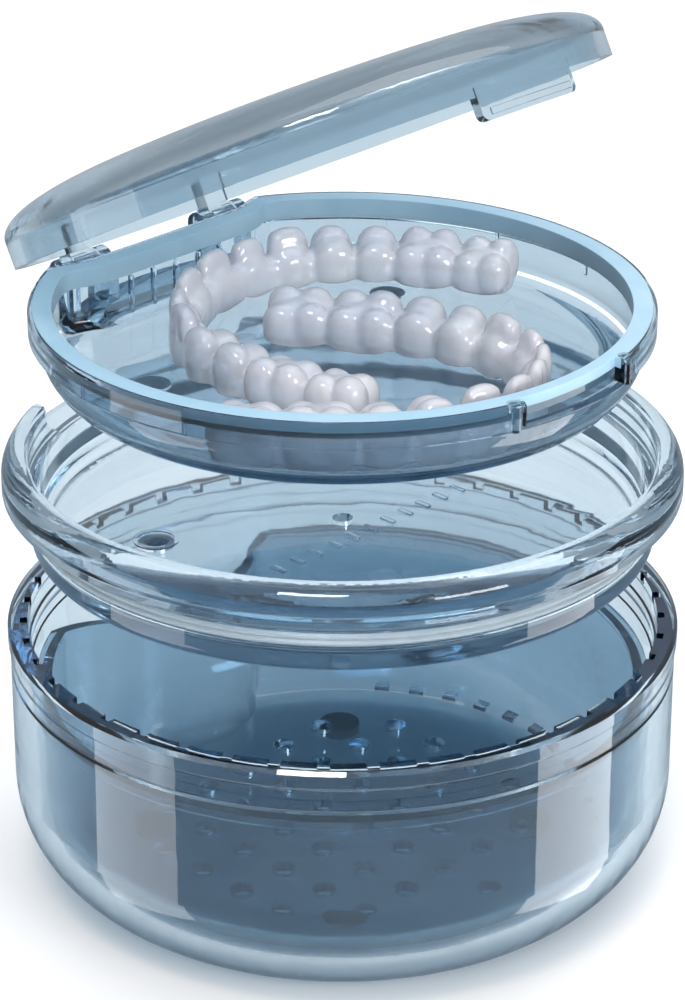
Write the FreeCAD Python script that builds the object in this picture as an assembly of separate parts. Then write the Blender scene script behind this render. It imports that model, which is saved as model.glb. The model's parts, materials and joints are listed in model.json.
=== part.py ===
import FreeCAD, Part
import math
import os

# Aligner case with soaking cup, in millimetres. +Z is up, the origin is the middle of the
# cup's flat base, the lid's hinge is on the +Y side and its latch on the -Y side.
# From the bottom up: a soaking cup with a strainer basket in it, a magnetic dock dish that
# plugs into the cup, and a round hinged case that drops into the dish and holds two aligners.
# The pieces stand apart, lifted off each other, with the lid part open.

V = FreeCAD.Vector
UP = V(0, 0, 1)
ORIGIN = V(0, 0, 0)

# How far the pieces are lifted apart, and the lid's opening
DOCK_LIFT = 19.8
CASE_LIFT = 20.5
LID_OPEN_DEG = 28.0

# Soaking cup
CUP_R = 46.0
CUP_H = 38.18
CUP_WALL = 3.0
CUP_CORNER = 15.6
CUP_COLLAR_Z = 35.7
CUP_NOTCHES = 44
CUP_NOTCH_HALF = 0.8
CUP_NOTCH_DEPTH = 1.1
CUP_DRAFT = 0.2

# Strainer basket
BASKET_R = 41.7
BASKET_WALL = 1.5
BASKET_FLOOR = 4.4
BASKET_TOP = 29.6
BASKET_HOLE_R = 1.6
BASKET_HOLE_PITCH = 7.8
BASKET_HOLE_FIELD = 28.3
BASKET_CORNER = 11.2
BASKET_LIP = 0.6
BASKET_LIP_H = 1.2
BASKET_CHORD = 29.2
BASKET_FINGER_HALF = 5.0
BASKET_FINGER_RUN = 17.0
BASKET_FINGER_STEP = 7.0
BASKET_FOOT_AT = 19.0
BASKET_FOOT_R = 3.0
BASKET_SLOTS = 42
BASKET_SLOT_R = 36.7
BASKET_SLOT_HALF = 1.1
BASKET_SLOT_TOP = 6.6
FINGER_SPAN_DEG = 52

# Dock dish, heights above its own underside
DOCK_R = 45.9
DOCK_H = 13.2
DOCK_FLOOR = 1.6
DOCK_PLUG_R = 42.3
DOCK_FLANGE_Z = 7.7
DOCK_LEDGE_Z = 9.48
DOCK_WELL_R = 42.3
DOCK_LOWER_WELL_R = 40.75
SCOOP_DEPTH = 4.6
SCOOP_HALF = 20.5
SCOOP_CORNER = 3.5
DRAIN_R = 1.4
LENS_R = 1.8
LENS_H = 0.5
LENS_RING_R = 3.1
LENS_RING_H = 0.25
BARS = 11
BAR_PITCH = 3.5
BAR_HALF = 0.35
BAR_NEAR = -6.4
BAR_FAR = -4.0
BAR_H = 0.3
DOCK_BASE = CUP_H + 0.02 - DOCK_FLANGE_Z

# Round case, heights above its own underside
CASE_R = 41.5
CASE_H = 10.7
CASE_FLOOR = 1.7
CASE_WELL_R = 39.3
CASE_STEP_Z = 7.0
CASE_BODY_R = 40.4
CASE_BASE = DOCK_BASE + DOCK_LEDGE_Z + 0.02 - CASE_STEP_Z
SHELF_Z = 3.6
CASE_CORNER = 5.9
WELL_FILLET = 1.8
RIBS = 5
RIB_PITCH = 4.2
TICK_DEGREES = (60, 35, 10, -15, 145, 170, 195)

# Gasket around the case's rim, and the chord that it takes past the hinge
GASKET_IN_R = 38.3
GASKET_OUT_R = 40.9
GASKET_T = 1.4
SKIRT_H = 1.2
CHORD_Y = 31.4
CHORD_HALF = 13.0
CHORD_RUN = 7.5
CHORD_STEP = 1.8
CHORD_WALL = 2.4
CHORD_BACK = CHORD_Y + CHORD_WALL + 0.7
LATCH_SEAT_R = 39.95
LATCH_SEAT_HALF = 9.4
POST_X = 10.6
POST_R = 1.0
POST_RING_R = CASE_R - 0.6

# Lid, heights above its rim
LID_R = 41.3
LID_WALL = 1.6
LID_GAP = 0.3
LID_H = 9.6
LATCH_HALF = 8.5
LATCH_DROP = 2.8
LATCH_T = 1.25
LID_RIB = {"length": 34, "width": 9, "y": 25.0, "wall": 1.0}

# Hinge
HINGE_Y = 37.0
HINGE_BELOW_RIM = 1.8
KNUCKLE_R = 1.9
PIN_R = 0.75
PIN_PLAY = 0.06
KNUCKLE_X = 13.0
KNUCKLE_W = 4.0
EAR_W = 1.9
EAR_GAP = 0.3

# Magnets under both floors
MAGNET_R = 2.5
MAGNET_T = 1.0
MAGNET_X = 22.5
MAGNET_Y = 13.0

# Aligners: an arch line, x = a sin^(2/n), y = depth cos^(2/n), and a trough around it
ARCH_POWER = 2.25
ALIGNER_H = 8.6
ALIGNER_SKIN = 0.8
FRONT_HALF = 3.4
BACK_HALF = 4.1
UPPER = {"at": (9.0, -7.0), "turn": 20.5, "half": 25.0, "depth": 32.8}
LOWER = {"at": (-16.0, -0.5), "turn": 214.7, "half": 18.6, "depth": 35.6}


def raised(z):
    """The underside of a piece once it is lifted to height z."""
    return V(0, 0, z)


DOCK_Z = DOCK_BASE + DOCK_LIFT
CASE_Z = CASE_BASE + DOCK_LIFT + CASE_LIFT
RIM_Z = CASE_Z + CASE_H
HINGE_Z = RIM_Z - HINGE_BELOW_RIM


def lathe(steps):
    """A solid of revolution about Z. A step is a point (r, z), or ("arc", middle, end), or
    ("curve", pole, pole, end) for a Bezier run."""
    edges = []
    here = V(steps[0][0], 0, steps[0][1])
    first = here
    for step in steps[1:]:
        if step[0] == "arc":
            middle = V(step[1][0], 0, step[1][1])
            end = V(step[2][0], 0, step[2][1])
            edges.append(Part.Arc(here, middle, end).toShape())
        elif step[0] == "curve":
            poles = [here] + [V(r, 0, z) for r, z in step[1:]]
            curve = Part.BezierCurve()
            curve.setPoles(poles)
            edges.append(curve.toShape())
            end = poles[-1]
        else:
            end = V(step[0], 0, step[1])
            edges.append(Part.LineSegment(here, end).toShape())
        here = end
    edges.append(Part.LineSegment(here, first).toShape())
    face = Part.Face(Part.Wire(edges))
    return face.revolve(ORIGIN, UP, 360)


def corner(centre, radius):
    """The middle point of a quarter round that runs from straight down to straight out."""
    return (centre[0] + radius * math.cos(math.pi / 4), centre[1] - radius * math.sin(math.pi / 4))


def cylinder(radius, height, at, axis=UP):
    return Part.makeCylinder(radius, height, at, axis)


def block(x0, x1, y0, y1, z0, z1):
    return Part.makeBox(x1 - x0, y1 - y0, z1 - z0, V(x0, y0, z0))


def notch(chord_y, half, run, step, z0, z1):
    """What is cut from a disc on the hinge side: a straight chord whose ends bend outwards in
    an S of two equal arcs."""
    bend = 2 * math.atan2(step, run)
    r = run / (2 * math.sin(bend))
    far = 70.0
    dx1, dy1 = r * math.sin(bend / 2), r * (1 - math.cos(bend / 2))
    dxm, dym = r * math.sin(bend), r * (1 - math.cos(bend))

    def side(s):
        a = V(s * half, chord_y, z0)
        b = V(s * (half + dx1), chord_y + dy1, z0)
        c = V(s * (half + dxm), chord_y + dym, z0)
        d = V(s * (half + run - dx1), chord_y + step - dy1, z0)
        e = V(s * (half + run), chord_y + step, z0)
        return a, b, c, d, e

    la, lb, lc, ld, le = side(-1)
    ra, rb, rc, rd, re = side(1)
    edges = [
        Part.LineSegment(la, ra).toShape(),
        Part.Arc(ra, rb, rc).toShape(),
        Part.Arc(rc, rd, re).toShape(),
        Part.LineSegment(re, V(far, re.y, z0)).toShape(),
        Part.LineSegment(V(far, re.y, z0), V(far, far, z0)).toShape(),
        Part.LineSegment(V(far, far, z0), V(-far, far, z0)).toShape(),
        Part.LineSegment(V(-far, far, z0), V(-far, le.y, z0)).toShape(),
        Part.LineSegment(V(-far, le.y, z0), le).toShape(),
        Part.Arc(le, ld, lc).toShape(),
        Part.Arc(lc, lb, la).toShape(),
    ]
    return Part.Face(Part.Wire(edges)).extrude(V(0, 0, z1 - z0))


def chorded(radius, chord_y, z0, z1, fillet=4.0):
    """A disc with the hinge side's chord cut from it, its two outer corners rounded."""
    disc = cylinder(radius, z1 - z0, raised(z0))
    solid = disc.cut(notch(chord_y, CHORD_HALF, CHORD_RUN, CHORD_STEP, z0 - 1, z1 + 1))
    corners = [
        e
        for e in solid.Edges
        if abs(e.Vertexes[0].X - e.Vertexes[-1].X) < 1e-6
        and abs(e.Vertexes[0].Y - e.Vertexes[-1].Y) < 1e-6
        and e.Length > (z1 - z0) * 0.99
        and abs(math.hypot(e.Vertexes[0].X, e.Vertexes[0].Y) - radius) < 1e-4
        and e.Vertexes[0].Y > 0
    ]
    return solid.makeFillet(fillet, corners)


def soften(solid, radius, wanted):
    """The solid with the edges for which wanted(edge) is true rounded."""
    return solid.makeFillet(radius, [e for e in solid.Edges if wanted(e)])


def flat_at(z):
    """A test for edges that lie in the plane at height z."""
    return lambda e: all(abs(v.Z - z) < 1e-6 for v in e.Vertexes) and abs(e.CenterOfMass.z - z) < 1e-6


def ring_of(count, make):
    """Copies of make() turned evenly round the axis, as one compound."""
    copies = []
    for i in range(count):
        copy = make()
        copy.rotate(ORIGIN, UP, 360.0 * i / count)
        copies.append(copy)
    return Part.makeCompound(copies)


def soaking_cup():
    wall_r = CUP_R - CUP_DRAFT
    base = wall_r - CUP_CORNER
    low = (base, CUP_CORNER)
    inner = CUP_CORNER - CUP_WALL
    outside = lathe([
        (0, 0), (base, 0), ("arc", corner(low, CUP_CORNER), (wall_r, CUP_CORNER)),
        (CUP_R - 0.25, 32.0), (CUP_R - 0.5, 32.3), (CUP_R - 0.25, 32.6),
        (CUP_R - 0.25, CUP_COLLAR_Z), (CUP_R, CUP_COLLAR_Z + 0.25),
        (CUP_R, CUP_H - 0.5), (CUP_R - 0.5, CUP_H), (0, CUP_H),
    ])
    inside = lathe([
        (0, CUP_WALL), (base, CUP_WALL),
        ("arc", corner(low, inner), (wall_r - CUP_WALL, CUP_CORNER)),
        (wall_r - CUP_WALL, 31.5), (CUP_R - CUP_WALL, 31.7), (CUP_R - CUP_WALL, 34.5),
        (CUP_R - CUP_WALL + 0.3, 34.7), (CUP_R - CUP_WALL + 0.3, CUP_H + 1), (0, CUP_H + 1),
    ])
    pocket_r = CUP_R - CUP_WALL
    notches = ring_of(CUP_NOTCHES, lambda: block(
        pocket_r - 0.5, pocket_r + 1.3, -CUP_NOTCH_HALF, CUP_NOTCH_HALF,
        CUP_H - CUP_NOTCH_DEPTH, CUP_H + 1))
    return outside.cut(inside).cut(notches)


def basket_shell(radius, low_z, corner_r, top_z):
    base = radius - corner_r
    return lathe([
        (0, low_z), (base, low_z),
        ("arc", corner((base, low_z + corner_r), corner_r), (radius, low_z + corner_r)),
        (radius, top_z), (0, top_z),
    ])


def strainer_basket():
    finger = {"half": BASKET_FINGER_HALF, "run": BASKET_FINGER_RUN, "step": BASKET_FINGER_STEP}
    outside = basket_shell(BASKET_R, BASKET_FLOOR, BASKET_CORNER, BASKET_TOP)
    rim = cylinder(BASKET_R + BASKET_LIP, BASKET_LIP_H, raised(BASKET_TOP - BASKET_LIP_H))
    outside = outside.fuse(rim)
    outside = outside.cut(notch(BASKET_CHORD, z0=0, z1=40, **finger))
    inside = basket_shell(BASKET_R - BASKET_WALL, BASKET_FLOOR + BASKET_WALL,
                          BASKET_CORNER - BASKET_WALL, BASKET_TOP + 5)
    inside = inside.cut(notch(BASKET_CHORD - BASKET_WALL - 0.1, z0=0, z1=40, **finger))
    basket = outside.cut(inside)
    cuts = []
    reach = int(BASKET_HOLE_FIELD // BASKET_HOLE_PITCH) + 1
    for i in range(-reach, reach + 1):
        for k in range(-reach, reach):
            x, y = i * BASKET_HOLE_PITCH, (k + 0.5) * BASKET_HOLE_PITCH
            if math.hypot(x, y) <= BASKET_HOLE_FIELD and y < BASKET_CHORD - 4:
                cuts.append(cylinder(BASKET_HOLE_R, 6, V(x, y, BASKET_FLOOR - 2)))
    # shallow drain grooves under the floor's corner, none below the finger notch
    for i in range(BASKET_SLOTS):
        turn = 360.0 * i / BASKET_SLOTS
        if abs((turn - 90 + 180) % 360 - 180) < FINGER_SPAN_DEG:
            continue
        groove = block(BASKET_SLOT_R - BASKET_SLOT_HALF, BASKET_SLOT_R + BASKET_SLOT_HALF,
                       -BASKET_SLOT_HALF, BASKET_SLOT_HALF, 0, BASKET_SLOT_TOP)
        groove.rotate(ORIGIN, UP, turn)
        cuts.append(groove)
    basket = basket.cut(Part.makeCompound(cuts))
    for x in (-BASKET_FOOT_AT, BASKET_FOOT_AT):
        for y in (-BASKET_FOOT_AT, BASKET_FOOT_AT):
            foot = cylinder(BASKET_FOOT_R, BASKET_FLOOR - CUP_WALL + 0.4, V(x, y, CUP_WALL))
            basket = basket.fuse(foot)
    return basket.removeSplitter()


def dock_dish():
    shoulder = DOCK_H - 3.2
    outside = lathe([
        (0, 0), (DOCK_PLUG_R - 1.6, 0),
        ("arc", corner((DOCK_PLUG_R - 1.6, 1.6), 1.6), (DOCK_PLUG_R, 1.6)),
        (DOCK_PLUG_R, 3.8), (DOCK_PLUG_R - 0.5, 3.8), (DOCK_PLUG_R - 0.5, 5.8),
        (DOCK_PLUG_R + 0.2, 5.8), (DOCK_PLUG_R + 0.2, DOCK_FLANGE_Z),
        (DOCK_R - 0.5, DOCK_FLANGE_Z), (DOCK_R, DOCK_FLANGE_Z + 0.5), (DOCK_R, shoulder - 0.9),
        (DOCK_R - 0.25, shoulder - 0.6), (DOCK_R, shoulder - 0.3), (DOCK_R, shoulder),
        ("curve", (DOCK_R, shoulder + 2.0), (DOCK_R - 1.6, DOCK_H), (DOCK_WELL_R + 0.9, DOCK_H)),
        (0, DOCK_H),
    ])
    well = lathe([
        (0, DOCK_FLOOR), (DOCK_LOWER_WELL_R - 2.2, DOCK_FLOOR),
        ("arc", corner((DOCK_LOWER_WELL_R - 2.2, DOCK_FLOOR + 2.2), 2.2),
         (DOCK_LOWER_WELL_R, DOCK_FLOOR + 2.2)),
        (DOCK_LOWER_WELL_R, DOCK_LEDGE_Z), (DOCK_WELL_R, DOCK_LEDGE_Z),
        (DOCK_WELL_R, DOCK_H - 0.5), (DOCK_WELL_R + 0.5, DOCK_H + 0.1), (0, DOCK_H + 0.1),
    ])
    dish = outside.cut(well)
    # a finger scoop in the wall on the hinge side, rounded at its lower corners
    low = DOCK_H - SCOOP_DEPTH
    scoop = block(-SCOOP_HALF, SCOOP_HALF, 30, 50, low, DOCK_H + 2)
    scoop = soften(scoop, SCOOP_CORNER, lambda e: e.Length > 19
                   and abs(e.CenterOfMass.z - low) < 1e-6
                   and abs(abs(e.CenterOfMass.x) - SCOOP_HALF) < 1e-6)
    dish = dish.cut(scoop)
    # a drain hole, magnet pockets below, a lens over each magnet, and a row of raised bars
    dish = dish.cut(cylinder(DRAIN_R, 6, V(0, 0, -2)))
    for side in (-1, 1):
        at = V(side * MAGNET_X, MAGNET_Y, 0)
        dish = dish.cut(cylinder(MAGNET_R, MAGNET_T, at))
        dish = dish.fuse(dome(LENS_R, LENS_H, at + raised(DOCK_FLOOR)))
        ring = cylinder(LENS_RING_R, LENS_RING_H, at + raised(DOCK_FLOOR - 0.02))
        dish = dish.fuse(ring.cut(cylinder(MAGNET_R, 1, at + raised(DOCK_FLOOR - 0.1))))
    for i in range(BARS):
        x = (i - (BARS - 1) / 2) * BAR_PITCH
        bar = block(x - BAR_HALF, x + BAR_HALF, BAR_NEAR, BAR_FAR, DOCK_FLOOR - 0.1, DOCK_FLOOR + BAR_H)
        dish = dish.fuse(bar)
    dish.translate(raised(DOCK_Z))
    return dish.removeSplitter()


def dome(radius, height, at):
    """A shallow spherical cap of that base radius and height, standing on at."""
    ball = (radius * radius + height * height) / (2 * height)
    sphere = Part.makeSphere(ball, at + raised(height - ball))
    keep = cylinder(radius + 0.5, height + 0.3, at - raised(0.3))
    return sphere.common(keep).common(cylinder(radius, height + 1, at - raised(0.3)))


def dock_seal_ring():
    low, high = 3.85, 5.75
    inner = DOCK_PLUG_R - 0.45
    outer = DOCK_PLUG_R + 0.3
    middle = (low + high) / 2
    ring = lathe([
        (inner, low), (outer - 0.4, low), (outer, low + 0.4), (outer, middle - 0.3),
        (outer - 0.3, middle), (outer, middle + 0.3), (outer, high - 0.4), (outer - 0.4, high),
        (inner, high),
    ])
    ring.translate(raised(DOCK_Z))
    return ring


def magnet(side, base_z):
    return cylinder(MAGNET_R - 0.05, MAGNET_T - 0.05, V(side * MAGNET_X, MAGNET_Y, base_z + 0.05))


def case_tray():
    foot_r = CASE_BODY_R - CASE_CORNER
    outside = lathe([
        (0, 0), (foot_r, 0),
        ("curve", (foot_r + 3.0, 0), (CASE_BODY_R - 0.6, 2.4), (CASE_BODY_R - 0.15, CASE_STEP_Z - 0.8)),
        (CASE_BODY_R, CASE_STEP_Z), (CASE_R - 0.2, CASE_STEP_Z), (CASE_R, CASE_STEP_Z + 0.3),
        (CASE_R, CASE_H - 0.5), (CASE_R - 0.3, CASE_H), (0, CASE_H),
    ])
    well = chorded(CASE_WELL_R, CHORD_Y + 1.0, CASE_FLOOR, CASE_H + 2)
    well = soften(well, WELL_FILLET, flat_at(CASE_FLOOR))
    tray = outside.cut(well)
    # the rebate that the gasket sits in
    rebate = chorded(GASKET_OUT_R, CHORD_Y + CHORD_WALL + 0.15, CASE_H - GASKET_T, CASE_H + 2)
    tray = tray.cut(rebate)
    # behind the chord wall the rim drops to a shelf, where the lid's heel swings
    shelf = notch(CHORD_BACK, CHORD_HALF, CHORD_RUN, CHORD_STEP, SHELF_Z, CASE_H + 2)
    tray = tray.cut(shelf)
    # hinge ears, one each side of each lid knuckle
    hinge_z = CASE_H - HINGE_BELOW_RIM
    for side in (-1, 1):
        for outward in (-1, 1):
            inner_edge = KNUCKLE_W / 2 + EAR_GAP
            x = side * KNUCKLE_X + (inner_edge if outward > 0 else -inner_edge - EAR_W)
            ear = cylinder(KNUCKLE_R, EAR_W, V(x, HINGE_Y, hinge_z), V(1, 0, 0))
            leg = block(x, x + EAR_W, HINGE_Y - KNUCKLE_R, HINGE_Y + 1.2, SHELF_Z - 0.3, hinge_z)
            beyond = cylinder(CASE_R + 5, CASE_STEP_Z, ORIGIN).cut(
                cylinder(CASE_BODY_R - 0.1, CASE_STEP_Z, ORIGIN))
            tray = tray.fuse(ear.fuse(leg).cut(beyond))
        hole = cylinder(PIN_R, KNUCKLE_W + 2 * EAR_W + 2 * EAR_GAP + 0.2,
                        V(side * KNUCKLE_X - KNUCKLE_W / 2 - EAR_W - EAR_GAP - 0.1, HINGE_Y, hinge_z),
                        V(1, 0, 0))
        tray = tray.cut(hole)
    # latch seat in the front wall, between two round posts, with a bead for the tab to snap over
    tray = tray.cut(latch_seat())
    for side in (-1, 1):
        tray = tray.fuse(latch_post(side, POST_R, CASE_STEP_Z + 0.05, CASE_H - 0.3))
    for side in (-1, 1):
        at = V(side * MAGNET_X, MAGNET_Y, 0)
        tray = tray.cut(cylinder(MAGNET_R, MAGNET_T, at))
    # thin ribs inside the chord wall
    for i in range(RIBS):
        x = (i - (RIBS - 1) / 2) * RIB_PITCH
        rib = block(x - 0.3, x + 0.3, CHORD_Y + 0.45, CHORD_Y + 1.3, CASE_FLOOR - 0.1, CASE_H - 3.2)
        tray = tray.fuse(rib)
    # ticks round the upper wall
    for degrees in TICK_DEGREES:
        tick = block(CASE_WELL_R - 0.35, CASE_WELL_R + 0.4, -0.2, 0.2, CASE_H - 4.6, CASE_H - 2.7)
        tick.rotate(ORIGIN, UP, degrees)
        tray = tray.fuse(tick)
    tray.translate(raised(CASE_Z))
    return tray.removeSplitter()


def latch_seat():
    """The room for the lid's tab in the front of the case's rim."""
    low = raised(CASE_STEP_Z + 0.4)
    room = cylinder(CASE_R + 3, 20, low).cut(cylinder(LATCH_SEAT_R, 20, low))
    return room.common(block(-LATCH_SEAT_HALF, LATCH_SEAT_HALF, -50, -30, 0, 40))


def latch_post(side, radius, z0, z1):
    """A round post in the rim, at one end of the latch seat."""
    y = -math.sqrt(POST_RING_R ** 2 - POST_X ** 2)
    return cylinder(radius, z1 - z0, V(side * POST_X, y, z0))


def tray_gasket():
    top = CASE_H
    low = CASE_H - GASKET_T
    band = chorded(GASKET_OUT_R - 0.05, CHORD_Y + CHORD_WALL + 0.1, low, top)
    hole = chorded(GASKET_IN_R, CHORD_Y, low - SKIRT_H - 1, top + 1)
    skirt = chorded(CASE_WELL_R - 0.05, CHORD_Y + 0.95, low - SKIRT_H, low)
    gasket = band.fuse(skirt).cut(hole).cut(latch_seat())
    for side in (-1, 1):
        gasket = gasket.cut(latch_post(side, POST_R + 0.05, 0, 20))
    gasket = gasket.removeSplitter()
    gasket.translate(raised(CASE_Z))
    return gasket


def case_lid():
    """The lid is shaped closed, with its rim a little above the case's, and then opened."""
    rim = LID_GAP
    outside = lathe([
        (0, LID_H), ("curve", (14, LID_H), (24, LID_H - 0.35), (29.5, LID_H - 0.9)),
        ("curve", (36.0, LID_H - 1.6), (LID_R, LID_H - 3.2), (LID_R, 3.6)),
        (LID_R, 0), (0, 0),
    ])
    w = LID_WALL
    inside = lathe([
        (0, LID_H - w), ("curve", (14, LID_H - w), (23.5, LID_H - w - 0.35), (28.8, LID_H - w - 0.9)),
        ("curve", (34.8, LID_H - w - 1.6), (LID_R - w, LID_H - w - 3.0), (LID_R - w, 3.3)),
        (LID_R - w, -1), (0, -1),
    ])
    lid = outside.cut(inside)
    # a stadium-shaped rib under the roof, near the hinge
    rib = stadium(z0=LID_H - w - 2.6, z1=LID_H, **LID_RIB)
    lid = lid.fuse(rib.common(outside))
    # latch tab, curved with the wall, with a snap ridge inside its lower edge
    tab = cylinder(CASE_R, LATCH_DROP + LID_GAP + 1.2, raised(-LATCH_DROP - LID_GAP))
    tab = tab.cut(cylinder(CASE_R - LATCH_T, 20, raised(-10)))
    tab = tab.common(block(-LATCH_HALF, LATCH_HALF, -50, -30, -10, 10))
    tab = soften(tab, 1.0, lambda e: abs(e.Length - LATCH_T) < 0.1
                 and abs(e.CenterOfMass.z + LATCH_DROP + LID_GAP) < 1e-6)
    lid = lid.fuse(tab)
    bead = Part.makeTorus(CASE_R, 0.45, raised(-LATCH_DROP + 0.7))
    bead = bead.common(block(-LATCH_HALF + 1.2, LATCH_HALF - 1.2, -50, -30, -10, 10))
    lid = lid.fuse(bead.common(cylinder(CASE_R + 0.25, 20, raised(-10))))
    # hinge knuckles hang from the wall, one each side
    drop = rim + HINGE_BELOW_RIM
    for side in (-1, 1):
        x = side * KNUCKLE_X - KNUCKLE_W / 2
        knuckle = cylinder(KNUCKLE_R, KNUCKLE_W, V(x, HINGE_Y, -drop), V(1, 0, 0))
        web = block(x, x + KNUCKLE_W, HINGE_Y - 1.0, HINGE_Y + 1.5, -drop, 4.0)
        web = web.common(cylinder(LID_R, 40, raised(-20)))
        lid = lid.fuse(knuckle).fuse(web)
        lid = lid.cut(cylinder(PIN_R + PIN_PLAY, KNUCKLE_W + 1, V(x - 0.5, HINGE_Y, -drop), V(1, 0, 0)))
    lid = lid.removeSplitter()
    lid.translate(raised(RIM_Z + rim))
    lid.rotate(V(0, HINGE_Y, HINGE_Z), V(-1, 0, 0), LID_OPEN_DEG)
    return lid


def stadium(length, width, y, wall, z0, z1):
    """A ring of stadium plan, its long axis along X."""
    def slab(grow):
        r = width / 2 + grow
        straight = length / 2 - width / 2
        body = block(-straight, straight, y - r, y + r, z0, z1)
        for side in (-1, 1):
            body = body.fuse(cylinder(r, z1 - z0, V(side * straight, y, z0)))
        return body
    return slab(0).cut(slab(-wall))


def hinge_pin(side):
    length = KNUCKLE_W + 2 * EAR_W + 2 * EAR_GAP
    return cylinder(PIN_R, length, V(side * KNUCKLE_X - length / 2, HINGE_Y, HINGE_Z), V(1, 0, 0))


def arch_point(arch, s, offset=0.0):
    """A point on the arch line, s from -1 to 1 along it, moved sideways by offset."""
    def local(t):
        angle = t * math.pi / 2
        x = arch["half"] * math.copysign(abs(math.sin(angle)) ** (2 / ARCH_POWER), t)
        y = arch["depth"] * max(math.cos(angle), 0.0) ** (2 / ARCH_POWER)
        return x, y
    x, y = local(s)
    ahead, behind = local(min(s + 0.002, 1.0)), local(max(s - 0.002, -1.0))
    tx, ty = ahead[0] - behind[0], ahead[1] - behind[1]
    size = math.hypot(tx, ty)
    x, y = x - ty / size * offset, y + tx / size * offset
    turn = math.radians(arch["turn"])
    return (arch["at"][0] + x * math.cos(turn) - y * math.sin(turn),
            arch["at"][1] + x * math.sin(turn) + y * math.cos(turn))


def arch_plan(arch, shrink, z):
    """The trough's plan: both sides of the arch line, wider at the back teeth, round ends."""
    count = 21

    def half(s):
        return FRONT_HALF + (BACK_HALF - FRONT_HALF) * abs(s) ** 1.5 - shrink

    def spaced(i):
        t = -1 + 2 * i / (count - 1)
        return math.copysign(1 - (1 - abs(t)) ** 1.25, t) if t else 0.0

    ends = 0.985
    outer = [V(*arch_point(arch, spaced(i) * ends, half(spaced(i))), z) for i in range(count)]
    inner = [V(*arch_point(arch, spaced(i) * ends, -half(spaced(i))), z) for i in range(count)]
    sides = []
    for points in (outer, inner):
        curve = Part.BSplineCurve()
        curve.interpolate(points)
        sides.append(curve.toShape())
    caps = []
    for s, a, b in ((1, outer[-1], inner[-1]), (-1, outer[0], inner[0])):
        middle = (a + b) * 0.5
        along = UP.cross(a - b)
        along.normalize()
        towards = V(*arch_point(arch, s, 0), z) - V(*arch_point(arch, s * 0.9, 0), z)
        if along.dot(towards) < 0:
            along = along * -1
        tip = middle + along * (half(1) * 0.8)
        caps.append(Part.Arc(a, tip, b).toShape())
    return Part.Face(Part.Wire(Part.__sortEdges__([sides[0], caps[0], sides[1], caps[1]])))


def aligner(arch):
    """A thin trough, closed above and open below, that lies on the case's floor."""
    base = CASE_Z + CASE_FLOOR + 0.05
    outer = arch_plan(arch, 0.0, base).extrude(raised(ALIGNER_H))
    outer = soften(outer, 1.4, flat_at(base + ALIGNER_H))
    inner = arch_plan(arch, ALIGNER_SKIN, base - 1).extrude(raised(ALIGNER_H + 1 - ALIGNER_SKIN))
    return outer.cut(inner)


def save(name, shape):
    solids = shape.Solids
    print(name, "solids", len(solids), "valid", shape.isValid(), "volume %.1f" % shape.Volume)
    (solids[0] if len(solids) == 1 else shape).exportStep("parts/%s.step" % name)


def main():
    os.makedirs("parts", exist_ok=True)
    save("soaking_cup", soaking_cup())
    save("strainer_basket", strainer_basket())
    save("dock_dish", dock_dish())
    save("dock_seal_ring", dock_seal_ring())
    save("case_tray", case_tray())
    save("tray_gasket", tray_gasket())
    save("case_lid", case_lid())
    for name, side in (("left", -1), ("right", 1)):
        save("dock_magnet_" + name, magnet(side, DOCK_Z))
        save("tray_magnet_" + name, magnet(side, CASE_Z))
        save("hinge_pin_" + name, hinge_pin(side))
    save("upper_aligner", aligner(UPPER))
    save("lower_aligner", aligner(LOWER))


main()
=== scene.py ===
import bpy
import bmesh
import json
import math
import random
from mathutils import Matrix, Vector


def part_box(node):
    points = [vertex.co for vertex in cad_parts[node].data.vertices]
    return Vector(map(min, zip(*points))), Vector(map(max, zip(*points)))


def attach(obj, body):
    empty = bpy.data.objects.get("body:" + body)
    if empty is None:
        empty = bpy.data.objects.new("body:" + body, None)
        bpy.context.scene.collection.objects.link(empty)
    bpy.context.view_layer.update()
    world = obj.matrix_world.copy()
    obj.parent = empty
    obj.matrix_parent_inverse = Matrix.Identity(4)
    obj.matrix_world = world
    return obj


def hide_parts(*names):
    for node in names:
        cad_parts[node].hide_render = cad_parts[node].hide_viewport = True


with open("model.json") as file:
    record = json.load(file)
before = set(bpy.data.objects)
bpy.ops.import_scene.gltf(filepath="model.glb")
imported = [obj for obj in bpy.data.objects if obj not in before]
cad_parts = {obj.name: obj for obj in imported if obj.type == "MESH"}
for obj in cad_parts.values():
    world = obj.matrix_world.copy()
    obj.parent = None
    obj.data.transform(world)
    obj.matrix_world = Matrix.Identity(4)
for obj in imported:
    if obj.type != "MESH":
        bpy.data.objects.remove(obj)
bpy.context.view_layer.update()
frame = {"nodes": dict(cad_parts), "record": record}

# A round case for clear bite guards, pulled apart into its layers. The case's parts keep their
# CAD shapes and get their plastics and metals here; the two guards are modelled in full.
MM = 0.001                      # metres in a millimetre
DRAWS = random.Random(11)       # small differences between the teeth
scene = bpy.context.scene


# ---------------------------------------------------------------- helpers
def link(name, data):
    piece = bpy.data.objects.new(name, data)
    scene.collection.objects.link(piece)
    return piece


def bake_modifiers(piece):
    """Swap the piece's mesh for the one that its modifiers make of it."""
    bpy.context.view_layer.update()
    shaped = piece.evaluated_get(bpy.context.evaluated_depsgraph_get())
    fresh = bpy.data.meshes.new_from_object(shaped)
    old = piece.data
    piece.modifiers.clear()
    piece.data = fresh
    bpy.data.meshes.remove(old)


def shade_smooth(piece):
    for face in piece.data.polygons:
        face.use_smooth = True


# ---------------------------------------------------------------- material nodes
LOW_TONE_AT, HIGH_TONE_AT = 0.3, 0.7    # where in a noise its two tones are reached
LOOKS = {}                              # the finished materials, by name


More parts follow.
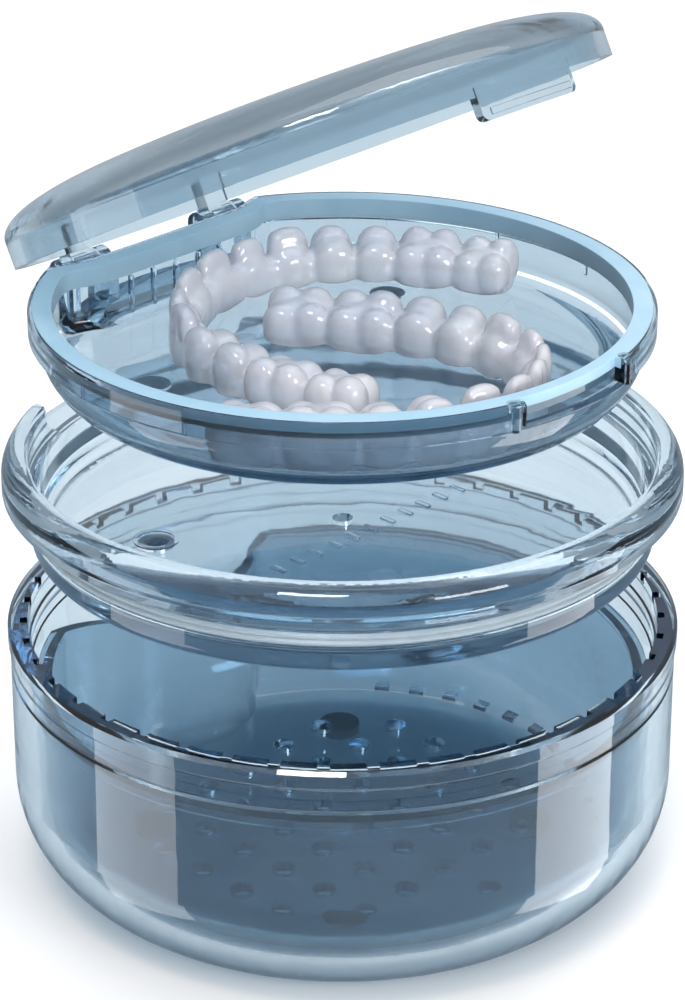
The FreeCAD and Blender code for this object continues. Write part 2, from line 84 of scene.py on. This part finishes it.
def new_material(name):
    mat = bpy.data.materials.new(name)
    LOOKS[name] = mat
    mat.use_nodes = True
    tree = mat.node_tree
    tree.nodes.clear()
    return tree


def noise_tex(tree, scale, detail, rough, distortion=0.0):
    """Noise that is fixed to the object, with that many waves to the metre."""
    coord = tree.nodes.new("ShaderNodeTexCoord")
    tex = tree.nodes.new("ShaderNodeTexNoise")
    tex.inputs["Scale"].default_value = scale
    tex.inputs["Detail"].default_value = detail
    tex.inputs["Roughness"].default_value = rough
    tex.inputs["Distortion"].default_value = distortion
    tree.links.new(coord.outputs["Object"], tex.inputs["Vector"])
    return tex.outputs["Fac"]


def ramp(tree, amount, stops):
    node = tree.nodes.new("ShaderNodeValToRGB")
    band = node.color_ramp
    while len(band.elements) < len(stops):
        band.elements.new(0.5)
    for element, (at, colour) in zip(band.elements, stops):
        element.position = at
        element.color = (*colour, 1.0)
    tree.links.new(amount, node.inputs["Fac"])
    return node.outputs["Color"]


def two_tone(tree, body, amount, low, high):
    """The base colour wanders between two close tones."""
    colour = ramp(tree, amount, [(LOW_TONE_AT, low), (HIGH_TONE_AT, high)])
    tree.links.new(colour, body.inputs["Base Color"])


def rubbed(tree, body, amount, low, high):
    """The roughness wanders between two values."""
    span = tree.nodes.new("ShaderNodeMapRange")
    span.inputs["To Min"].default_value = low
    span.inputs["To Max"].default_value = high
    tree.links.new(amount, span.inputs["Value"])
    tree.links.new(span.outputs["Result"], body.inputs["Roughness"])


def bumped(tree, body, amount, strength, depth, under=None):
    """A bump on the body, on top of the one under it."""
    bump = tree.nodes.new("ShaderNodeBump")
    bump.inputs["Strength"].default_value = strength
    bump.inputs["Distance"].default_value = depth
    tree.links.new(amount, bump.inputs["Height"])
    if under:
        tree.links.new(under, bump.inputs["Normal"])
    tree.links.new(bump.outputs["Normal"], body.inputs["Normal"])
    return bump.outputs["Normal"]


def lamp_through(tree, surface, colour):
    """The surface, but letting the lamps' light straight through in that colour."""
    through = tree.nodes.new("ShaderNodeBsdfTransparent")
    through.inputs["Color"].default_value = (*colour, 1.0)
    path = tree.nodes.new("ShaderNodeLightPath")
    mix = tree.nodes.new("ShaderNodeMixShader")
    tree.links.new(path.outputs["Is Shadow Ray"], mix.inputs["Fac"])
    tree.links.new(surface, mix.inputs[1])
    tree.links.new(through.outputs["BSDF"], mix.inputs[2])
    return mix.outputs["Shader"]


# ---------------------------------------------------------------- plastics and metals
DEPTH_COLOUR = (0.10, 0.36, 0.54)       # what is left of white light deep inside the plastic
LAMP_SHARE = 0.98                       # of a lamp's light, that clear plastic lets through
LAMP_TINT = 0.4                         # how far the tint colours it: 0 not at all, 1 fully
SMUDGE_SCALE, WAVE_SCALE, GRAIN_SCALE = 14.0, 55.0, 900.0
WAVE_DEPTH = 1.0 * MM
GRAIN_STRENGTH, GRAIN_DEPTH = 0.02, 0.05 * MM

CLOUD_SCALE = 90.0                      # the milky clouds in the guards and the silicone
SKIN_STRENGTH, SKIN_DEPTH = 0.15, 0.2 * MM
COAT_ROUGHNESS = 0.05
BLUE_GLOW = 1.1                         # blue goes this much deeper than red and green

STREAK_STRENGTH, STREAK_DEPTH = 0.05, 0.05 * MM


def clear_plastic(name, tint, shade, density, rough=(0.015, 0.05), wave=0.10, ior=1.45,
                  clear=1.0):
    """Moulded see-through plastic: a tint that varies a little, faint flow waves and
    smudges, and colour that deepens with the length of the way through it."""
    tree = new_material(name)
    out = tree.nodes.new("ShaderNodeOutputMaterial")
    glass = tree.nodes.new("ShaderNodeBsdfPrincipled")
    waves = noise_tex(tree, WAVE_SCALE, 2.0, 0.5, distortion=0.6)
    smudges = noise_tex(tree, SMUDGE_SCALE, 3.0, 0.6)
    grain = noise_tex(tree, GRAIN_SCALE, 2.0, 0.6)
    two_tone(tree, glass, smudges, shade, tint)
    rubbed(tree, glass, smudges, *rough)
    wavy = bumped(tree, glass, waves, wave, WAVE_DEPTH)
    bumped(tree, glass, grain, GRAIN_STRENGTH, GRAIN_DEPTH, under=wavy)
    glass.inputs["Transmission Weight"].default_value = clear
    glass.inputs["IOR"].default_value = ior
    lamp_colour = [LAMP_SHARE * c ** LAMP_TINT for c in tint]
    surface = lamp_through(tree, glass.outputs["BSDF"], lamp_colour)
    tree.links.new(surface, out.inputs["Surface"])
    soak = tree.nodes.new("ShaderNodeVolumeAbsorption")
    soak.inputs["Color"].default_value = (*DEPTH_COLOUR, 1.0)
    soak.inputs["Density"].default_value = density
    tree.links.new(soak.outputs["Volume"], out.inputs["Volume"])


def soft_plastic(name, low, high, rough, transmission, subsurface, glow, grain_scale,
                 coat=0.0, ior=1.45, lamp_share=0.0):
    """Milky guard plastic or silicone: part see-through, part glowing from inside, to the
    depth glow; lamp_share of the lamps' light goes straight through it."""
    tree = new_material(name)
    out = tree.nodes.new("ShaderNodeOutputMaterial")
    body = tree.nodes.new("ShaderNodeBsdfPrincipled")
    clouds = noise_tex(tree, CLOUD_SCALE, 3.0, 0.6)
    grain = noise_tex(tree, grain_scale, 3.0, 0.55)
    two_tone(tree, body, clouds, low, high)
    rubbed(tree, body, grain, *rough)
    bumped(tree, body, grain, SKIN_STRENGTH, SKIN_DEPTH)
    body.inputs["Transmission Weight"].default_value = transmission
    body.inputs["Subsurface Weight"].default_value = subsurface
    body.inputs["Subsurface Radius"].default_value = (glow, glow, BLUE_GLOW * glow)
    body.inputs["Subsurface Scale"].default_value = 1.0
    body.inputs["Coat Weight"].default_value = coat
    body.inputs["Coat Roughness"].default_value = COAT_ROUGHNESS
    body.inputs["IOR"].default_value = ior
    surface = body.outputs["BSDF"]
    if lamp_share:
        surface = lamp_through(tree, surface, (lamp_share, lamp_share, lamp_share))
    tree.links.new(surface, out.inputs["Surface"])


def metal(name, low, high, rough, scale):
    """Polished or brushed metal with fine streaks."""
    tree = new_material(name)
    out = tree.nodes.new("ShaderNodeOutputMaterial")
    body = tree.nodes.new("ShaderNodeBsdfPrincipled")
    streaks = noise_tex(tree, scale, 4.0, 0.65)
    two_tone(tree, body, streaks, low, high)
    rubbed(tree, body, streaks, *rough)
    bumped(tree, body, streaks, STREAK_STRENGTH, STREAK_DEPTH)
    body.inputs["Metallic"].default_value = 1.0
    tree.links.new(body.outputs["BSDF"], out.inputs["Surface"])


clear_plastic("cup_plastic", (0.67, 0.77, 0.83), (0.62, 0.73, 0.80), 24.0, wave=0.06, ior=1.5)
clear_plastic("basket_plastic", (0.43, 0.57, 0.67), (0.38, 0.53, 0.64), 35.0,
              rough=(0.004, 0.014), wave=0.05, ior=1.50, clear=0.97)
clear_plastic("dock_plastic", (0.62, 0.73, 0.80), (0.57, 0.69, 0.77), 22.0, wave=0.08)
clear_plastic("tray_plastic", (0.47, 0.60, 0.69), (0.41, 0.54, 0.64), 30.0)
clear_plastic("lid_plastic", (0.53, 0.64, 0.71), (0.48, 0.60, 0.68), 20.0)
soft_plastic("gasket_silicone", (0.36, 0.57, 0.72), (0.44, 0.64, 0.78), rough=(0.25, 0.38),
             transmission=0.0, subsurface=0.3, glow=1.0 * MM, grain_scale=500.0)
soft_plastic("seal_silicone", (0.62, 0.74, 0.82), (0.70, 0.80, 0.87), rough=(0.25, 0.40),
             transmission=0.5, subsurface=0.2, glow=1.0 * MM, grain_scale=500.0)
soft_plastic("aligner_plastic", (0.88, 0.87, 0.97), (0.97, 0.96, 1.0), rough=(0.06, 0.16),
             transmission=0.60, subsurface=0.30, glow=2.0 * MM, grain_scale=420.0,
             coat=0.4, ior=1.40, lamp_share=0.85)
metal("magnet_metal", (0.78, 0.81, 0.84), (0.92, 0.94, 0.96), rough=(0.30, 0.45), scale=700.0)
metal("pin_steel", (0.70, 0.72, 0.74), (0.88, 0.89, 0.90), rough=(0.08, 0.18), scale=1100.0)

for part in frame["record"]["subparts"]:
    for held in frame["nodes"][part["node"]].material_slots:
        held.material = LOOKS[part["material_slot"]]


# ---------------------------------------------------------------- bite guards, in millimetres
# The arch is a superellipse: its middle's place, its turn from above in degrees, its half
# width and its depth. The CAD troughs follow the same arches.
ARCH_POWER = 2.25
UPPER = {"at": (9.0, -7.0), "turn": 20.5, "half": 25.0, "depth": 32.8}
LOWER = {"at": (-16.0, -0.5), "turn": 214.7, "half": 18.6, "depth": 35.6}
# A tooth from the middle of the arch outwards: share of the arch, breadth across it, height
UPPER_TEETH = [(8.4, 4.6, 8.4), (6.6, 4.6, 8.2), (7.4, 5.8, 8.5), (6.9, 7.3, 8.0),
               (6.8, 7.6, 7.8), (9.6, 8.3, 7.6), (9.0, 8.2, 7.2)]
LOWER_TEETH = [(5.4, 4.3, 8.4), (5.8, 4.4, 8.3), (6.8, 5.6, 8.5), (6.9, 7.0, 8.0),
               (7.1, 7.4, 7.8), (10.4, 8.0, 7.6), (9.8, 7.9, 7.3)]
FRONT_TEETH = 3                 # on each side, thin and fluted; the rest have lobes
FIRST_MOLAR = 5                 # from this tooth on there are two lobes along as well
OVERRUN = 2.6                   # how far the last tooth reaches past the end of the arch
END_MARGIN = 0.2                # nearer the end than this, a tooth is put straight on past it
JOG = 0.25                      # most that a tooth stands out of line
LOBE_LIFT = 0.02                # most that a lobe is moved up or down, in tooth heights
FRONT_LEAN = 0.5                # how far the edge of a front tooth leans outwards

# The rounded blocks of a front tooth: place along it (share of its width), outwards (mm) and
# up (share of its height), half sizes (shares of width, breadth, height), squareness, and
# whether it leans. First the root, then the blade, then three flutes.
FLUTE = (0.14, 0.24, 0.44)
FRONT_BLOCKS = [
    (0.0, 0.0, 0.32, (0.48, 0.48, 0.42), 2.3, False),
    (0.0, 0.4, 0.58, (0.46, 0.27, 0.42), 2.8, True),
    (-0.30, 0.82, 0.52, FLUTE, 2.0, True),
    (0.0, 1.0, 0.52, FLUTE, 2.0, True),
    (0.30, 0.82, 0.52, FLUTE, 2.0, True),
]
# A back tooth's body (place up, half sizes, squareness), its outer and its inner lobe (place
# outwards, place up and half height), and the lobes along it (place, half length). All of the
# places and sizes are shares of the tooth's own.
BACK_BODY = (0.36, (0.495, 0.47, 0.50), 2.7)
LOBE_ROWS = [(0.22, 0.53, 0.46), (-0.24, 0.42, 0.43)]
LOBE_BREADTH, LOBE_SQUARENESS = 0.28, 2.35
LOBE_ALONE = [(0.0, 0.48)]
LOBE_PAIR = [(-0.225, 0.30), (0.225, 0.29)]

# The band that joins the crowns, wider towards the back
BAND_STEPS = 30
BAND_HEIGHT, BAND_HALF_HEIGHT = 2.3, 2.9
BAND_HALF_LENGTH = 1.5
BAND_HALF_BREADTH, BAND_WIDENING = 2.1, 1.1
BAND_SQUARENESS = 2.6

VOXEL = 0.30
RELAX_STEPS = 9
SHELL = 0.55                    # thickness of the guard's plastic
# The lower edge's height at a tooth's middle, its rise from there to the tooth's sides, and
# how far out it goes on rising, where the tooth's sides are at 1
SCALLOP_LOW, SCALLOP_RISE, SCALLOP_REACH = 0.15, 0.75, 1.2
CUT_HEIGHT = 0.05               # the underside is cut away below this


def upwards(z):
    return Vector((0.0, 0.0, z))


def arch_point(arch, t):
    """A point of the arch: t is 0 at its middle and -1 or 1 at its ends."""
    angle = t * math.pi / 2
    x = arch["half"] * math.copysign(abs(math.sin(angle)) ** (2 / ARCH_POWER), t)
    y = arch["depth"] * max(math.cos(angle), 0.0) ** (2 / ARCH_POWER)
    turn = math.radians(arch["turn"])
    return Vector((arch["at"][0] + x * math.cos(turn) - y * math.sin(turn),
                   arch["at"][1] + x * math.sin(turn) + y * math.cos(turn), 0.0))


def arch_walk(arch, side, steps=400):
    """Points along one half of the arch, each with its distance from the arch's middle."""
    here, run, way = arch_point(arch, 0.0), 0.0, []
    for i in range(steps + 1):
        point = arch_point(arch, side * i / steps)
        run += (point - here).length
        here = point
        way.append((run, point))
    return way


def at_run(way, run):
    """The point and the direction along a way at that distance."""
    for (r0, p0), (r1, p1) in zip(way, way[1:]):
        if r1 >= run:
            f = (run - r0) / max(r1 - r0, 1e-9)
            return p0.lerp(p1, f), (p1 - p0).normalized()
    return way[-1][1], (way[-1][1] - way[-3][1]).normalized()


def blob(bm, centre, along, size, squareness, lean=0.0):
    """A rounded block, a superellipsoid; size is its half extents along, across and up."""
    made = bmesh.ops.create_icosphere(bm, subdivisions=3, radius=1.0)
    across = Vector((-along.y, along.x, 0.0))
    power = 2.0 / squareness
    for v in made["verts"]:
        c = [math.copysign(abs(k) ** power, k) for k in v.co]
        scale = 1.0 / max((abs(c[0]) ** squareness + abs(c[1]) ** squareness
                           + abs(c[2]) ** squareness) ** (1 / squareness), 1e-6)
        c = [k * scale for k in c]
        v.co = (centre + along * (c[0] * size[0]) + across * (c[1] * size[1] + lean * c[2])
                + upwards(c[2] * size[2]))


def front_tooth(bm, spot, along, across, side, tooth):
    width, breadth, height = tooth
    for a, b, up, (long, broad, tall), squareness, leaning in FRONT_BLOCKS:
        centre = spot + along * (a * width) + across * b + upwards(height * up)
        blob(bm, centre, along, (width * long, breadth * broad, height * tall), squareness,
             FRONT_LEAN * side if leaning else 0.0)


def back_tooth(bm, spot, along, across, tooth, lobes):
    width, breadth, height = tooth
    up, (long, broad, tall), squareness = BACK_BODY
    blob(bm, spot + upwards(height * up), along,
         (width * long, breadth * broad, height * tall), squareness)
    for a, long in lobes:
        for b, up, tall in LOBE_ROWS:
            lift = DRAWS.uniform(-LOBE_LIFT, LOBE_LIFT)
            centre = (spot + along * (a * width) + across * (b * breadth)
                      + upwards(height * (up + lift)))
            blob(bm, centre, along, (width * long, breadth * LOBE_BREADTH, height * tall),
                 LOBE_SQUARENESS)


def crowns(bm, way, side, teeth):
    """The teeth along one half of the arch; gives back each one's middle and width."""
    end = way[-1][0]
    share = (end + OVERRUN) / sum(tooth[0] for tooth in teeth)
    run = 0.0
    marks = []
    for k, (width, breadth, height) in enumerate(teeth):
        width *= share
        middle, along = at_run(way, min(run + width / 2, end - END_MARGIN))
        if run + width / 2 > end - END_MARGIN:
            middle = middle + along * (run + width / 2 - end + END_MARGIN)
        across = Vector((-along.y, along.x, 0.0)) * side
        run += width
        marks.append((middle, width))
        spot = middle + across * DRAWS.uniform(-JOG, JOG)
        tooth = (width, breadth, height)
        if k < FRONT_TEETH:
            front_tooth(bm, spot, along, across, side, tooth)
        else:
            back_tooth(bm, spot, along, across, tooth,
                       LOBE_PAIR if k >= FIRST_MOLAR else LOBE_ALONE)
    return marks


def band(bm, way):
    """The wall that joins the crowns along one half of the arch."""
    for i in range(BAND_STEPS):
        f = i / (BAND_STEPS - 1)
        point, along = at_run(way, way[-1][0] * f)
        broad = BAND_HALF_BREADTH + BAND_WIDENING * f
        blob(bm, point + upwards(BAND_HEIGHT), along,
             (BAND_HALF_LENGTH, broad, BAND_HALF_HEIGHT), BAND_SQUARENESS)


def scallop(marks, v):
    """How high the guard's lower edge stands there: lowest at each tooth's middle."""
    middle, width = min(marks, key=lambda m: (m[0].x - v.x) ** 2 + (m[0].y - v.y) ** 2)
    far = math.hypot(middle.x - v.x, middle.y - v.y) / (width / 2)
    return SCALLOP_LOW + SCALLOP_RISE * min(far, SCALLOP_REACH) ** 2


def open_underside(piece, marks, base, height):
    """Cuts the underside away along a scalloped line, and fits the rest to the CAD height."""
    bm = bmesh.new()
    bm.from_mesh(piece.data)
    for v in bm.verts:
        v.co.z -= scallop(marks, v.co)
    bmesh.ops.bisect_plane(bm, geom=bm.verts[:] + bm.edges[:] + bm.faces[:],
                           plane_co=upwards(CUT_HEIGHT), plane_no=upwards(1.0),
                           clear_inner=True)
    for v in bm.verts:
        v.co.z += scallop(marks, v.co)
    top = max(v.co.z for v in bm.verts)
    squeeze = height / top
    for v in bm.verts:
        v.co = Vector((v.co.x, v.co.y, base + min(v.co.z, top) * squeeze)) * MM
    bm.to_mesh(piece.data)
    bm.free()


def guard(name, node, arch, teeth):
    """A guard over an arch of teeth, in the place of its CAD trough. The body it rides on has
    the name of the node."""
    low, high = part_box(node)
    bm = bmesh.new()
    ways = {side: arch_walk(arch, side) for side in (-1, 1)}
    marks = []
    for side, way in ways.items():
        marks += crowns(bm, way, side, teeth)
    for way in ways.values():
        band(bm, way)
    mesh = bpy.data.meshes.new(name)
    bm.to_mesh(mesh)
    bm.free()
    piece = link(name, mesh)
    union = piece.modifiers.new("union", "REMESH")
    union.mode = "VOXEL"
    union.voxel_size = VOXEL
    relax = piece.modifiers.new("relax", "SMOOTH")
    relax.factor = 0.5
    relax.iterations = RELAX_STEPS
    bake_modifiers(piece)
    open_underside(piece, marks, low[2] / MM, (high[2] - low[2]) / MM)
    wall = piece.modifiers.new("wall", "SOLIDIFY")
    wall.thickness = SHELL * MM
    wall.offset = -1.0
    bake_modifiers(piece)
    shade_smooth(piece)
    piece.data.materials.clear()
    piece.data.materials.append(LOOKS["aligner_plastic"])
    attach(piece, node)
    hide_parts(node)


guard("upper_guard", "upper_aligner", UPPER, UPPER_TEETH)
guard("lower_guard", "lower_aligner", LOWER, LOWER_TEETH)


# ---------------------------------------------------------------- floor, in metres
FLOOR_REACH = 4.0               # from its middle to its edges
FLOOR_DROP = 0.2 * MM           # so that the floor and the cup's underside do not flicker


def floor_material():
    tree = new_material("floor_paper")
    out = tree.nodes.new("ShaderNodeOutputMaterial")
    body = tree.nodes.new("ShaderNodeBsdfPrincipled")
    fibres = noise_tex(tree, 40.0, 3.0, 0.5)
    two_tone(tree, body, fibres, (0.93, 0.93, 0.935), (0.95, 0.95, 0.955))
    body.inputs["Roughness"].default_value = 0.9
    body.inputs["Specular IOR Level"].default_value = 0.1
    tree.links.new(body.outputs["BSDF"], out.inputs["Surface"])


def lay_floor():
    bm = bmesh.new()
    bmesh.ops.create_grid(bm, x_segments=2, y_segments=2, size=FLOOR_REACH)
    mesh = bpy.data.meshes.new("floor")
    bm.to_mesh(mesh)
    bm.free()
    floor = link("floor", mesh)
    floor.location.z = -FLOOR_DROP
    floor.data.materials.append(LOOKS["floor_paper"])
    floor.visible_glossy = False    # the strip lamps below it show in the plastic's walls


floor_material()
lay_floor()


# ---------------------------------------------------------------- camera and light, in metres
# Turns and rises are in degrees.
CAMERA_TURN, CAMERA_RISE = -46.0, 25.1
CAMERA_AIM = Vector((0, 0, 0.0545))
CAMERA_AWAY = 0.44456
LENS, SENSOR = 117.92, 36.0


def toward(turn, rise):
    """A direction, turned by degrees from the camera's side to the viewer's right."""
    a = math.radians(CAMERA_TURN) + math.radians(turn)
    e = math.radians(rise)
    return Vector((math.sin(a) * math.cos(e), -math.cos(a) * math.cos(e), math.sin(e)))


def aim_at(thing, direction, away):
    """Puts the thing that far from the camera's aim, in that direction, and faces it there."""
    thing.location = CAMERA_AIM + direction * away
    thing.rotation_mode = "QUATERNION"
    thing.rotation_quaternion = (-direction).to_track_quat("-Z", "Y")


def panel(name, turn, rise, away, width, height, watts):
    """A soft lamp that faces the object and does not show itself to the camera."""
    lamp = bpy.data.lights.new(name, "AREA")
    lamp.shape = "RECTANGLE"
    lamp.size = width
    lamp.size_y = height
    lamp.energy = watts
    holder = link(name, lamp)
    aim_at(holder, toward(turn, rise), away)
    holder.visible_camera = False


camera = link("camera", bpy.data.cameras.new("camera"))
aim_at(camera, toward(0, CAMERA_RISE), CAMERA_AWAY)
camera.data.lens = LENS
camera.data.sensor_width = SENSOR
camera.data.clip_start = 0.01
camera.data.clip_end = 50.0
scene.camera = camera

# The two strips stand for the windows whose bands show in the cup's wall, which mirrors what
# is below the horizon
panel("strip_left", -74, -24, 0.75, 0.40, 0.60, 2.2)
panel("strip_right", 85, -24, 0.75, 0.40, 0.60, 3.4)
panel("overhead", 150, 72, 0.9, 0.9, 0.7, 3.8)
panel("front_soft", -14, 58, 0.9, 0.26, 0.16, 4.0)
panel("lid_glint", 42, 23, 0.8, 0.34, 0.16, 3.0)

# The sky's colour from straight down, 0, through the horizon, 0.5, to straight up, 1
SKY = [(0.20, (0.42, 0.52, 0.62)), (0.45, (0.66, 0.74, 0.81)), (0.56, (0.60, 0.66, 0.72)),
       (0.72, (0.95, 0.97, 1.0)), (1.0, (1.0, 1.0, 1.0))]
SKY_STRENGTH = 0.62


def hang_sky():
    world = bpy.data.worlds.new("studio")
    scene.world = world
    world.use_nodes = True
    tree = world.node_tree
    tree.nodes.clear()
    out = tree.nodes.new("ShaderNodeOutputWorld")
    sky = tree.nodes.new("ShaderNodeBackground")
    coord = tree.nodes.new("ShaderNodeTexCoord")
    split = tree.nodes.new("ShaderNodeSeparateXYZ")
    tree.links.new(coord.outputs["Generated"], split.inputs["Vector"])
    height = tree.nodes.new("ShaderNodeMapRange")
    height.inputs["From Min"].default_value = -1.0
    height.inputs["From Max"].default_value = 1.0
    tree.links.new(split.outputs["Z"], height.inputs["Value"])
    tree.links.new(ramp(tree, height.outputs["Result"], SKY), sky.inputs["Color"])
    sky.inputs["Strength"].default_value = SKY_STRENGTH
    tree.links.new(sky.outputs["Background"], out.inputs["Surface"])


hang_sky()

# Light is passed on many times inside clear plastic, and too few bounces turn its edges black
scene.view_settings.view_transform = "Standard"
scene.cycles.max_bounces = 24
scene.cycles.transmission_bounces = 24
scene.cycles.glossy_bounces = 24
scene.cycles.transparent_max_bounces = 32
scene.cycles.diffuse_bounces = 3
scene.cycles.caustics_reflective = False
scene.cycles.caustics_refractive = False
